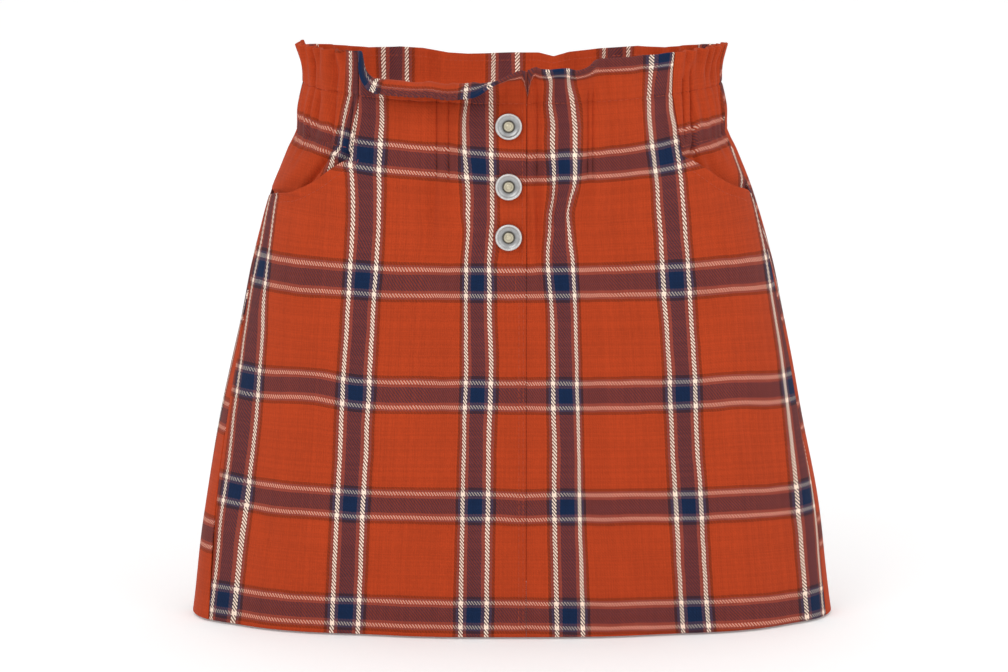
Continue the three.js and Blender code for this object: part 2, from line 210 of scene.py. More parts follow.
# Soft creases, listed one by one: from one place to another, how wide, and how deep (below zero it stands
# out)
creases = columns("x0 z0 x1 z1 width depth", [
    (-44, -18, -46, -72, 3.4, 1.7), (-36, -16, -34, -56, 2.8, 1.0), (-40, -20, -40, -60, 2.6, -0.9),
    (-27, -16, -24, -84, 3.4, 0.9), (-17, -60, -22, -98, 4.2, 0.8), (-14, -76, 0, -104, 3.4, -0.7),
    (-12, -50, -14, -88, 3.0, 0.6), (-30, 12, -28, -12, 2.2, 0.7), (-52, 12, -50, -12, 2.6, 0.6),
    (-62, 12, -63, -14, 3.0, 0.6), (-72, 13, -70, -16, 2.6, 0.7), (-9, 12, -8, -10, 2.0, 0.5),
    (14, -18, 16, -84, 2.4, 1.9), (19, -16, 20, -70, 3.0, -0.9), (11, 12, 11, -14, 1.6, -0.7),
    (22, -44, 21, -80, 1.6, 1.5), (27, -24, 25, -70, 2.8, -0.8), (28, 12, 26, -20, 2.6, 0.7),
    (42, -18, 38, -62, 3.2, 1.3), (47, -14, 50, -52, 3.4, -0.9), (33, -22, 34, -60, 3.0, -0.7),
    (37, 12, 37, -12, 2.4, -0.7), (56, 12, 54, -16, 2.4, 0.6), (64, 13, 65, -18, 2.8, 0.6),
    (76, 13, 74, -14, 2.6, 0.7), (60, -30, 56, -74, 5.0, 0.8), (-66, -30, -63, -80, 5.0, 0.8),
    (-84, -40, -78, -104, 4.4, 0.8), (70, -24, 74, -66, 4.0, 0.6), (84, -22, 88, -64, 4.0, 0.7),
    (6, -100, 9, -290, 2.4, 0.3), (-1, -238, 22, -250, 3.0, 0.6), (-8, -230, 6, -226, 3.0, -0.4),
    (-52, -118, -22, -136, 6.0, 0.7), (-96, -128, -60, -108, 7.0, 0.8), (34, -120, 62, -138, 7.0, 0.7),
    (74, -96, 108, -118, 7.0, 0.8), (52, -170, 78, -186, 6.0, -0.7), (-74, -178, -44, -168, 6.0, -0.7),
    (-128, -150, -104, -196, 7.0, 0.9), (118, -140, 138, -190, 7.0, 0.9), (-34, -196, -12, -216, 5.0, 0.5),
    (30, -214, 46, -232, 5.0, 0.5), (-150, -214, -132, -262, 7.0, 0.8), (140, -222, 152, -266, 7.0, 0.8),
    (-116, -236, -92, -250, 6.0, -0.5), (92, -236, 116, -252, 6.0, -0.5), (-104, -52, -118, -78, 4.6, 0.9),
    (104, -54, 120, -80, 4.6, 0.9), (-96, -60, -90, -94, 3.8, -0.6), (98, -62, 94, -98, 3.8, -0.6),
    (-58, 15, -60, 24, 2.2, 0.8), (-47, 15, -46, 26, 2.0, 0.7), (-34, 14, -32, 28, 2.0, 0.9),
    (-24, 14, -20, 30, 2.4, 0.9), (-6, 14, -2, 32, 2.2, 0.8), (8.2, 15, 8.2, 44, 2.4, -1.0),
    (12.5, 15, 12.5, 40, 1.6, 1.2),
    (9.0, -34, 10.2, -72, 1.4, 1.5), (13.6, -42, 14.2, -80, 1.6, 1.2), (24, -24, 22, -54, 1.8, 1.9),
    (36, -26, 30, -50, 1.8, 1.7), (-19, -60, -12, -84, 2.2, 1.1), (4.5, -58, 3.8, -80, 1.5, 0.9),
    (22, 14, 24, 34, 2.6, 0.9), (33, 14, 34, 36, 2.4, -0.8), (54, 14, 52, 34, 2.6, 1.0),
    (66, 14, 68, 36, 3.0, -1.0), (80, 14, 79, 34, 2.6, 1.1), (-84, 14, -82, 30, 1.8, -1.2),
])


# How far a table's creases press the cloth in: each is deepest in its middle and fades to its ends
def creased(table, x, z, ends, blunt=1.0):
    press = np.zeros(np.broadcast(x, z).shape)
    for x0, z0, x1, z1, width, depth in zip(*table.values()):
        runX, runZ = x1 - x0, z1 - z0
        share = np.clip(((x - x0) * runX + (z - z0) * runZ) / (runX * runX + runZ * runZ), 0, 1)
        away = np.hypot(x - x0 - share * runX, z - z0 - share * runZ) / width
        press += depth * np.exp(-away * away) * np.sin(np.pi * mix(ends, 1 - ends, share)) ** blunt
    return press


# Loose buckles over the whole cloth, from a few slow waves that never line up
buckles = columns("across up phase depth", [
    (0.043, 0.021, 0.4, 0.30), (-0.029, 0.047, 2.1, 0.26), (0.071, -0.033, 4.0, 0.18),
    (0.018, 0.083, 1.2, 0.14), (-0.094, -0.052, 5.2, 0.12), (0.131, 0.066, 3.3, 0.07),
])
buckleReach = {"around": 2.4, "starts": (-10.0, 30.0)}


def buckleDepth(along, height):
    press = np.zeros(np.broadcast(along, height).shape)
    for k, (across, up, phase, depth) in enumerate(zip(*buckles.values())):
        wave = across * along + up * height + phase
        press += depth * np.sin(wave + 0.7 * np.sin(0.021 * along - 0.017 * height + k))
    return press


def foldDepth(x, angle, height):
    isFront = np.abs(angle) < 90
    press = np.zeros(np.broadcast(x, height).shape)
    sharp = smooth(height, tuckLine["low"], tuckLine["full"]) * isFront
    for middle, width, depth, line, fadesAt in zip(*tucks.values()):
        away = x - middle
        soft = smooth(height, fadesAt, cut["lowerStitch"]) * isFront
        press += depth * soft * np.exp(-((away / width) ** 2))
        press += line * sharp * np.exp(-np.abs(away) / tuckLine["width"])
    down = smooth(-height, -cut["fluteTop"], -cut["hem"])
    for middle, width, depth in zip(*flutes.values()):
        turn = np.where((middle > 90) & (angle < -90), angle + 360, angle)
        press += depth * down * np.exp(-(((turn - middle) / width) ** 2))
    buckled = buckleDepth(buckleReach["around"] * angle, height)
    return press + buckled * smooth(-height, *buckleReach["starts"])


# Fine ribs along the edge of the header where it has flopped forward
ribs = {"depth": 0.5, "pitch": 3.1, "from": -80.0, "to": -26.0, "soft": 6.0, "climb": (0.72, 0.98)}


def headerFolds(x, angle, height, climb):
    isFront = np.abs(angle) < 90
    z = height + cut["headerRise"] * climb
    press = creased(creases, x, z, 0.12, 0.8) * isFront
    lowerShare = smooth(np.abs(angle), *groove["sides"])
    for line, share in ((cut["upperStitch"], 1.0), (cut["lowerStitch"], lowerShare)):
        away = (z - line) / groove["width"]
        press += groove["depth"] * share * np.exp(-away * away)
    flopped = between(x, ribs["from"], ribs["to"], ribs["soft"]) * isFront
    wave = np.sin(2 * np.pi * x / ribs["pitch"] + 1.3 * np.sin(0.21 * x))
    return press + ribs["depth"] * wave * flopped * smooth(climb, *ribs["climb"])


# The header's path above the upper stitch, outward and up, and its tilt at the end
def headerPath(lean, rise, steps=40):
    out, up, tilt = np.zeros_like(rise), np.zeros_like(rise), np.zeros_like(rise)
    for k in range(steps):
        tilt = np.radians(lean) * smooth(rise * (k + 0.5) / steps, cut["rollStart"], cut["rollEnd"])
        out += rise / steps * np.sin(tilt)
        up += rise / steps * np.cos(tilt)
    return out, up, np.radians(lean) * smooth(rise, cut["rollStart"], cut["rollEnd"])


# A place on the cloth: climb runs from 0 to 1 up the header, inset is the distance in from the outer face
def clothPoint(angle, height, climb, inset):
    angle, height, climb, inset = np.broadcast_arrays(angle * 1.0, height * 1.0, climb * 1.0, inset * 1.0)
    point, out = ringPoint(angle, height)
    ahead = np.cos(np.radians(angle))
    isFront = ahead > 0
    backRise = np.interp(point[0], backEdge["x"], backEdge["rise"])
    riseFull = np.where(isFront, np.interp(point[0], header["x"], header["rise"]), backRise)
    sideShare = smooth(np.abs(ahead), 0, backHeader["sideShare"])
    backLean = mix(backHeader["sideLean"], backHeader["lean"], sideShare)
    lean = np.where(isFront, read(header, "x", point[0], "lean"), backLean)
    pathOut, pathUp, tilt = headerPath(lean, riseFull * climb)
    press = gatherDepth(angle, height, riseFull * climb, riseFull)
    press += foldDepth(point[0], angle, height) * (1 - smooth(climb, 0.03, 0.42))
    press += headerFolds(point[0], angle, height, climb)
    outward = pathOut - (press + inset) * np.cos(tilt)
    upward = pathUp + (press + inset) * np.sin(tilt)
    return np.stack([point[0] + out[0] * outward, point[1] + out[1] * outward, point[2] + upward], -1)


def sideSeam(side, height):
    swing = np.clip((cut["swingTop"] - height) / (cut["swingTop"] - cut["hem"]), 0, 1)
    return mix(cut["hip"][side], cut["hemSeam"][side], swing)


def halfGapAngle(angle, height):
    near, far = ringPoint(angle, height)[0], ringPoint(angle + 0.5, height)[0]
    step = np.sqrt(sum((a - b) ** 2 for a, b in zip(near, far)))
    return 0.25 * cut["seamShown"] / step


# Where the seam above the pocket mouth stands
def seamStart(side, height):
    up = np.clip((height - mouth["height"][-1]) / (cut["upperStitch"] - mouth["height"][-1]), 0, 1)
    return cut["mouthX"][side] + cut["seamLean"][side] * up


def frontSideEdge(side, height):
    seam = sideSeam(side, height)
    start = angleAt(seamStart(side, height), np.maximum(height, mouth["height"][-1]))
    across = np.where(height <= mouth["height"][0], 1.0, read(mouth, "height", height, side))
    return mix(start, seam, across)


# Steps round a folded edge, from the edge in
def foldSteps(fold):
    return 0.5 * fold * (1 - np.cos(np.radians([0, 35, 65, 90])))


spacing = {"crowd": 7.0, "width": 1.2, "samples": 1200, "rowSamples": 500}


# Distances across a row: close together round the folded edges and at sharp tucks, even between
def stepsAcross(width, count, fold, busy=()):
    turn = foldSteps(fold)
    fine = np.linspace(turn[-1], width - turn[-1], spacing["samples"])
    crowd = np.ones(spacing["samples"])
    for at in busy:
        crowd += spacing["crowd"] * np.exp(-(((fine - at) / spacing["width"]) ** 2))
    share = np.concatenate([[0], np.cumsum(0.5 * (crowd[1:] + crowd[:-1]))])
    inner = np.interp(np.linspace(0, share[-1], count - 6), share, fine)
    return np.concatenate([turn[:3], inner, width - turn[2::-1]])


# The angles of a row at those distances; an edge that runs aslant stretches its own steps
def rowAngles(low, high, height, count, fold, busyX=(), slantLow=1.0, slantHigh=1.0):
    fine = np.linspace(low, high, spacing["rowSamples"])
    point = ringPoint(fine, height)[0]
    along = np.concatenate([[0], np.cumsum(np.hypot(np.diff(point[0]), np.diff(point[1])))])
    busy = [np.interp(angleAt(x, height), fine, along) for x in busyX]
    steps = stepsAcross(along[-1], count, fold, busy)
    steps[:4] *= slantLow
    steps[-4:] = along[-1] - (along[-1] - steps[-4:]) * slantHigh
    return np.interp(steps, along, fine), steps


def fromSide(arcs):
    return np.minimum(np.abs(arcs), np.abs(arcs).max(1, keepdims=True) - np.abs(arcs))


def foldShare(distance, radius):
    return np.sqrt(np.clip(1 - (1 - np.clip(distance / radius, 0, 1)) ** 2, 0, 1))


# A piece's grid: the angles of its rows, their distances from one side, and their heights and climbs
def gridOf(piece, heights, climb, low, high, fromHigh=False, slants=None, busy=()):
    slants = np.ones((len(heights), 2)) if slants is None else slants
    angles, arcs = [], []
    for i, height in enumerate(heights):
        row, steps = rowAngles(low[i], high[i], height, piece["columns"], piece["fold"], busy, *slants[i])
        angles.append(row)
        arcs.append(steps - steps[-1] * fromHigh)
    angles, arcs = np.array(angles), np.array(arcs)
    return angles, arcs, heights[:, None] + 0 * angles, climb[:, None] + 0 * angles


# The cloth's thickness runs out in a round fold at its sides, its bottom and its top
def foldedEdges(piece, arcs, heights, climb):
    rim = np.where(climb > 0.5, (1 - climb) * piece["rise"], heights - piece["bottom"])
    return foldShare(fromSide(arcs), piece["fold"] / 2) * foldShare(rim[:, None], piece["fold"] / 2)


# A closed thin shell over a grid of points on the cloth's middle surface
def addShell(name, middle, thickness, cloth, clothInside=None):
    rows, cols = middle.shape[:2]
    along = np.gradient(middle, axis=1)
    up = np.gradient(middle, axis=0)
    normal = np.cross(along, up)
    normal /= np.maximum(np.linalg.norm(normal, axis=2, keepdims=True), 1e-9)
    outer, inner = middle + normal * thickness[..., None] / 2, middle - normal * thickness[..., None] / 2
    index = np.arange(rows * cols).reshape(rows, cols)
    inside = np.zeros((rows, cols), bool)
    inside[1:-1, 1:-1] = True
    innerIndex = index.copy()
    innerIndex[inside] = rows * cols + np.arange(inside.sum())
    points = np.concatenate([outer.reshape(-1, 3), inner[inside]]) * mm
    clothInside = cloth if clothInside is None else clothInside
    places = np.concatenate([cloth.reshape(-1, 2), clothInside[inside]])
    a, b, c, d = index[:-1, :-1], index[:-1, 1:], index[1:, 1:], index[1:, :-1]
    front = np.stack([a, b, c, d], -1).reshape(-1, 4)
    a, b, c, d = innerIndex[:-1, :-1], innerIndex[:-1, 1:], innerIndex[1:, 1:], innerIndex[1:, :-1]
    back = np.stack([d, c, b, a], -1).reshape(-1, 4)
    return addMesh(name, points, np.concatenate([front, back]), places)


def addMesh(name, points, faces, places=None):
    mesh = bpy.data.meshes.new(name)
    mesh.from_pydata(points.tolist(), [], [tuple(map(int, face)) for face in faces])
    mesh.shade_smooth()
    if places is not None:
        layer = mesh.uv_layers.new(name="clothMap")
        corners = np.empty(len(mesh.loops), np.int32)
        mesh.loops.foreach_get("vertex_index", corners)
        layer.data.foreach_set("uv", places[corners].astype(np.float32).ravel())
    piece = bpy.data.objects.new(name, mesh)
    scene.collection.objects.link(piece)
    return piece


# Where the header flops or stands straight, its cream line slips out of sight in the fold inside
slipped = {
    "by": 2.6, "from": (5.6, 5.85), "flop": (-74.0, -24.0), "straight": (28.0, 66.0), "soft": 6.0,
    "downTo": cut["lowerStitch"] - 4.0,
}


# Over the folded edge the cloth carries on down the inside, to just below the lower stitch
def facing(cloth, heights, hidden=0.0):
    inside = cloth.copy()
    fromEdge = cloth[-1:, :, 1] - cloth[..., 1]
    skipped = hidden * smooth(fromEdge, *slipped["from"])
    inside[..., 1] += (2 * fromEdge + skipped) * (heights > slipped["downTo"])
    return inside


# Where the check lies on the cloth: a band's middle is at each multiple of a repeat
check = {"across": 73.5, "up": 63.5}
frontCloth = columns("height up", [
    (-296, -12.9), (-283, 0), (-220.3, 63.5), (-156.6, 127), (-91.7, 190.5), (-15, 254), (13.8, 290.3),
])
frontShift = {"left": 0.408, "right": -0.335}
frontEase = columns("height scale", [(-296, 1.0), (-96, 0.975), (13.8, 0.95)])
frontJumps = {"left": [(40.5, 5.0), (33.0, 5.0)], "right": [(15.0, 4.0), (40.5, 5.0), (45.0, 5.0)]}
headerUp = 27.3
# The header's rows: even ones, and extra ones where it leaves the stitching and where its cream line slips
headerRows = {"first": 0.065, "extra": [0.02, 0.04, 0.785, 0.795], "belowFold": 0.01}


def bodyRows(piece):
    levels = [np.linspace(low, high, count, endpoint=False) for low, high, count in piece["rows"]]
    turn = foldSteps(piece["fold"])
    heights = np.concatenate([piece["bottom"] + turn[:3], *levels, [cut["upperStitch"]]])
    even = np.linspace(headerRows["first"], 1, piece["climbs"])[:-1]
    rise = np.sort(np.concatenate([headerRows["extra"], even]))
    topFold = 1 - turn[::-1] / cut["rimRise"]
    rise = rise[rise < topFold[0] - headerRows["belowFold"]]
    climb = np.concatenate([np.zeros(len(heights)), rise, topFold])
    heights = np.concatenate([heights, np.full(len(climb) - len(heights), cut["upperStitch"])])
    return heights, climb


def clothThickness(piece, heights):
    body = mix(piece["hemThickness"], piece["thickness"], smooth(heights, *cut["hemEnds"]))
    return mix(body, piece["headerThickness"], smooth(heights, *cut["casingStarts"]))


frontPiece = {
    "columns": 196, "climbs": 18, "fold": 1.4, "bottom": -296.0, "rise": 23.0,
    "thickness": 1.0, "hemThickness": 1.15, "headerThickness": 1.9,
    "rows": [
        (-295.2, -100, 78), (-100, -50.8, 32), (-50.8, -42, 16), (-42, -18.4, 20), (-18.4, -15.6, 4),
        (-15.6, -12, 8), (-12, 12, 18), (12, 13.8, 4),
    ],
}
mouthLift = {"depth": 2.5, "low": -49.5, "lowFull": -43.5, "highFull": -26.0, "startsAt": 0.84}
placket = {"edgeX": 8.0, "opens": (-87.0, -79.0), "lift": 0.7, "flat": 1.0, "reach": 3.5}


# A place on a front panel: the pocket mouth stands off the hip, and the buttoned edge laps over
def frontPoint(side, angle, height, climb, inset):
    centre = angleAt(cut["seamX"], height)
    nearEdge = (angle - centre) / (frontSideEdge(side, height) - centre)
    rises = smooth(height, mouthLift["low"], mouthLift["lowFull"])
    falls = smooth(height, mouthLift["highFull"], mouth["height"][-1])
    lift = mouthLift["depth"] * rises * (1 - falls) * smooth(nearEdge, mouthLift["startsAt"], 1)
    if side == "left":
        fromEdge = placket["edgeX"] - ringPoint(angle, height)[0][0]
        isOpen = smooth(height, *placket["opens"])
        lift = lift + placket["lift"] * isOpen * (1 - smooth(fromEdge, placket["flat"], placket["reach"]))
    return clothPoint(angle, height, climb, inset - lift)


def slopeOf(values, heights):
    step = np.diff(heights)
    slope = np.where(step > 1e-6, np.diff(values) / np.maximum(step, 1e-6), 0)
    return np.concatenate([slope, slope[-1:]])


def addFront(side):
    piece = frontPiece
    isLeft = side == "left"
    heights, climb = bodyRows(piece)
    edge, centre = frontSideEdge(side, heights), angleAt(cut["seamX"], heights)
    slant = np.clip(np.hypot(1, slopeOf(ringPoint(edge, heights)[0][0], heights)), 1, 4)
    slants = np.stack([slant, np.ones_like(slant)], 1)
    low, high = (edge, centre) if isLeft else (centre, edge)
    low, high = low + halfGapAngle(low, heights), high - halfGapAngle(high, heights)
    onSide = tucks["x"] < cut["seamX"] if isLeft else tucks["x"] > cut["seamX"]
    busy = tucks["x"][onSide & (tucks["line"] > 1)]
    slants = slants if isLeft else slants[:, ::-1]
    angles, arcs, high, rise = gridOf(piece, heights, climb, low, high, isLeft, slants, busy)
    thick = clothThickness(piece, high)
    middle = frontPoint(side, angles, high, rise, thick / 2)
    cloth = frontPlaces(side, angles, arcs, high, rise)
    x = ringPoint(angles, high)[0][0]
    hidden = sum(between(x, *slipped[part], slipped["soft"]) for part in ("flop", "straight"))
    inside = facing(cloth, high, slipped["by"] * hidden)
    addShell(f"front_{side}_cloth", middle, thick * foldedEdges(piece, arcs, heights, climb), cloth, inside)


wedgeFold = {"x": 8.4, "tip": 16.0, "slope": 0.15, "up": 313.6, "soft": (-0.2, 0.4)}
# Folds pull the check a little off its lines: x and z of the middle, reach each way, shift of the cloth
pulls = columns("x z reachX reachZ across up", [
    (-37, 6, 10, 16, 0, -1.2), (-24, 8, 5, 14, 1.6, 0), (-24, -34, 6, 16, -1.4, 0), (-12, -70, 6, 16, 1.5, 0),
    (-24, -64, 6, 14, 1.2, 0), (16, 26, 7, 14, -2.0, 0), (19, -2, 6, 14, 1.3, 0), (20, -48, 6, 16, 2.2, 0),
    (33, -48, 5, 14, 1.0, 0), (33, 10, 6, 16, 1.2, 0), (27, -24, 8, 10, 0, -0.8), (46, -8, 9, 9, 0, 1.4),
    (62, -8, 10, 12, 0, 1.0), (-70, -96, 16, 30, 1.0, 0.6), (-76, -190, 18, 34, -0.9, 0.7),
    (-20, -180, 12, 34, 0.7, -0.6), (30, -188, 12, 30, -0.8, -0.4), (96, -120, 18, 36, 0.9, 0.8),
    (104, -226, 18, 34, -0.9, 0.5), (-120, -130, 16, 34, 0.8, 1.2), (-140, -230, 16, 30, -0.8, 0.8),
    (132, -160, 16, 36, 0.9, -0.6), (-52, -250, 16, 26, 0.8, -0.4), (58, -258, 16, 24, -0.8, 0.5),
    (86, 30, 8, 16, -2.4, 0), (94, 22, 7, 12, -2.0, 0), (8, -222, 10, 16, 0, 0.6),
    (-92, -16, 14, 20, 3.8, 0), (-84, -12, 14, 14, 0, 1.1), (18, -13, 40, 20, 0, 3.1),
    (82, -13, 22, 18, 0, 2.3), (-117, -153, 18, 24, 0, -3.4), (158, -160, 26, 110, 0, 2.6),
])


# How far each cream line strays from its straight course, at its place on the cloth
swayAt = {"left": [-154.5, -139.5, -81, -66, -7.5, 7.5], "right": [-7.5, 7.5, 66, 81, 139.5, 154.5]}
sway = {
    "left": columns("height l3 r3 l2 r2 l1 r1", [
        (-296, 8.2, 5.0, 1.3, 0.7, 0, 0), (-271, 8.0, 4.2, 1.4, 0.9, -0.1, -0.2),
        (-240, 7.5, 3.1, 1.6, 1.3, -0.5, -0.5), (-207, 4.9, 1.4, 2.2, 2.3, -1.1, -1.2),
        (-175, 4.6, -0.4, 2.7, 2.5, -2.1, -1.9), (-150, 4.3, 0, 2.8, 1.9, -2.4, -2.6),
        (-130, 6.0, 0.5, 2.8, 1.7, -2.5, -2.3), (-108, 6.0, 3.0, 2.6, 1.4, -2.3, -1.4),
        (-80, 1.5, 5.0, 2.4, 0.9, -2.6, -2.0), (-68, 1, 5, 2.3, 0.7, -4.2, -3.4),
        (-58, 1, 5, 2.2, 0.7, -4.8, -3.2), (-48, 1, 5, 2.1, 0.7, -3.0, -3.1),
        (-29, 0, 0, 1.8, 0.8, -1.7, -2.6), (4, 0, 0, 1.6, 0.5, -1.7, -1.9),
        (14, 0, 0, 2.5, 0.8, -2.9, -1.9), (38, 0, 0, 2.5, 0.8, -2.9, -1.6),
    ]),
    "right": columns("height l1 r1 l2 r2 l3 r3", [
        (-296, -0.4, -0.5, 0.1, 0, -6.6, -9.2), (-271, -0.3, -0.6, 0.1, 0, -6.6, -9.4),
        (-240, -0.1, -0.6, 0, 0, -6.8, -9.8), (-207, 0.1, -0.5, -0.6, -0.7, -7.0, -10),
        (-175, -0.4, -0.6, -1.7, -1.8, -7.6, -10), (-150, -0.5, -0.7, -2.8, -3.5, -8, -10),
        (-130, -0.9, -0.7, -3.4, -4.2, -8, -10), (-108, -0.6, -0.5, -3.5, -5.1, -7.6, -9),
        (-80, 1.5, 0.9, -3.0, -4.4, -7.2, -9), (-68, 0.7, 2.2, -2.6, -3.5, -7, -8),
        (-58, -1.5, 3.1, -2.0, -3.0, -7, -8), (-48, -3.0, 3.5, -1.3, -2.4, -7, -8),
        (-38, -3.7, 2.0, -1.0, -2.1, -7, -8), (-29, -3.4, 0, -0.6, -1.9, -7, -8),
        (-4, -2.9, -1.2, 1.6, 0.5, 0, 0), (4, -2.8, -1.4, 2.3, 2.3, 0, 0),
        (14, -0.3, -0.3, 2.7, 4.3, 0, 0), (26, 0.8, 3, 2.4, 6.3, 0, 0), (38, 2.8, 6, 2.2, 3.6, 0, 0),
    ]),
}


def swayed(side, across, z):
    table = sway[side]
    lines = [read(table, "height", z, name) for name in table if name != "height"]
    at = swayAt[side]
    shift = np.zeros_like(across)
    for k, line in enumerate(lines):
        below = smooth(across, at[k - 1], at[k]) if k else 1.0
        above = smooth(across, at[k], at[k + 1]) if k + 1 < len(at) else 0.0
        shift += line * (below - above)
    return across + shift


frontLie = {
    "jumpFade": 206.0, "jumpWidth": (3.0, 20.0), "jumpOpens": (0.0, 96.0),
    "tucked": 1.3, "tuckedFrom": (9.0, 6.8), "tuckedX": (44.0, 50.0),
    "rise": 0.018, "riseAt": (60.0, 296.0),
    "dip": 0.02, "dipX": 90.0, "dipStarts": (60.0, 130.0), "dipEnds": (-290.0, -230.0),
}


# Each place's millimetres of cloth across and up, with what the folds take in and pull aside
def frontPlaces(side, angles, arcs, heights, climb):
    lie = frontLie
    x = ringPoint(angles, heights)[0][0]
    z = heights + climb * cut["headerRise"]
    fade = np.clip((heights - cut["hem"]) / lie["jumpFade"], 0, 1)
    across = np.abs(arcs) / np.interp(heights, frontEase["height"], frontEase["scale"])
    width = mix(*lie["jumpWidth"], smooth(-heights, *lie["jumpOpens"]))
    for at, jump in frontJumps[side]:
        across += jump * fade * smooth(np.abs(x) - at, -width / 2, width / 2)
    across *= signs[side]
    up = read(frontCloth, "height", heights, "up") + headerUp * climb
    # At the right the header's cream line lies half in the fold
    fromTop = [headerUp - away for away in lie["tuckedFrom"]]
    up += lie["tucked"] * smooth(headerUp * climb, *fromTop) * smooth(x, *lie["tuckedX"])
    up += lie["rise"] * np.maximum(x, 0) * smooth(-heights, *lie["riseAt"])
    dipped = smooth(-heights, *lie["dipStarts"]) * smooth(heights, *lie["dipEnds"])
    up -= lie["dip"] * np.maximum(-x - lie["dipX"], 0) * dipped
    for middleX, middleZ, reachX, reachZ, aside, lifted in zip(*pulls.values()):
        near = np.exp(-(((x - middleX) / reachX) ** 2 + ((z - middleZ) / reachZ) ** 2))
        across += aside * near
        up += lifted * near
    across = swayed(side, across + frontShift[side] * check["across"], z)
    # The corner of the buttoned edge is folded over at the top, a wedge of the band's own colour
    halfWidth = wedgeFold["slope"] * (z - wedgeFold["tip"])
    wedge = smooth(halfWidth - np.abs(x - wedgeFold["x"]), *wedgeFold["soft"])
    up = mix(up, wedgeFold["up"], wedge * (climb > 0))
    return np.stack([across, up], -1)


for side in ("left", "right"):
    addFront(side)
print("fronts ready")


# The side pieces that carry the casing beside the front and back the pocket mouths
yokePiece = {
    "columns": 100, "climbs": 18, "fold": 1.2, "bottom": -64.0, "rise": 23.0,
    "thickness": 1.0, "hemThickness": 1.0, "headerThickness": 1.9,
    "rows": [(-63.2, -17.5, 44), (-17.5, -15.6, 4), (-15.6, -12, 8), (-12, 12, 18), (12, 13.8, 4)],
    "insetEnds": (2.0, 16.0), "insetStarts": (13.8, 17.5), "underStarts": (17.5, 25.0), "overlap": 0.15,
    "headerPress": 0.6, "flatEdge": (0.3, 4.0),
}
yokeCloth = {
    "left": {"bandAt": 4.3, "bandTop": 0.6, "squeeze": 1.1, "bandUp": -12.9, "tilt": 1.7, "slide": 0.34},
    "right": {"bandAt": 57.0, "bandTop": 57.0, "squeeze": 0.0, "bandUp": -11.4, "tilt": 0.0, "slide": 0.12},
    "both": {
        "bandLeans": (-14.0, 36.0), "slideMost": 60.0, "squeezeAt": (-22.0, -13.0), "squeezeMost": 3.6,
        "tiltX": (96.0, 122.0), "stretch": 1.1, "pressUp": 0.6,
    },
}
yokeFolds = {
    "left": columns("x0 z0 x1 z1 width depth", [
        (-92, -16, -108, -38, 1.8, 3.0), (-103, -17, -122, -45, 1.5, 3.6), (-98, -16, -116, -44, 2.2, -1.3),
        (-110, -17, -127, -38, 2.6, -1.2),
        (-97, 38, -101, 14, 2.0, 2.2), (-104, 40, -109, 16, 3.4, -1.5), (-111, 40, -113, 15, 2.0, 1.5),
        (-118, 42, -116, 16, 2.6, -1.6), (-92, 36, -95, 14, 2.0, -0.8), (-89, 14, -93, -14, 1.4, 2.3),
        (-95, 12, -97, -4, 2.0, -1.0), (-100, 13, -103, -12, 1.5, 2.5), (-106, 10, -104, -8, 2.0, -1.1),
        (-110, 13, -112, -6, 1.4, 2.0), (-117, 12, -118, -14, 2.4, -0.9), (-108, -4, -121, -20, 2.2, 1.0),
    ]),
    "right": columns("x0 z0 x1 z1 width depth", [
        (101, 30, 104, -18, 1.2, 3.8), (97, 22, 98, -12, 1.2, 2.6), (104, -15, 111, -36, 1.6, 2.6),
        (106, -12, 124, -48, 3.0, 2.0),
        (110, 36, 107, 10, 2.4, 1.3), (113, 16, 115, -14, 2.0, -1.3), (105, 40, 108, 15, 2.8, -1.6),
        (118, 38, 113, 14, 2.4, 1.2), (108, -14, 116, -40, 2.8, -1.5), (105, 12, 108, -14, 1.8, -1.2),
        (119, 10, 122, -20, 2.4, 1.1), (98, 40, 99, 22, 2.2, -1.0),
    ]),
}


def yokePress(side, x, height, climb):
    return creased(yokeFolds[side], x, height + cut["headerRise"] * climb, 0.15)


def yokePoint(side, angle, height, climb, inset, nearEdge=1.0):
    pastEdge = np.abs(angle) - np.abs(frontSideEdge(side, height))
    under = (1 - smooth(pastEdge, *yokePiece["insetEnds"])) * smooth(-height, *yokePiece["insetStarts"])
    x = ringPoint(angle, height)[0][0]
    press = yokePress(side, x, height, climb) * (1 - yokePiece["headerPress"] * smooth(climb, 0.5, 1))
    return clothPoint(angle, height, climb, inset + cut["yokeInset"] * under + press * nearEdge)


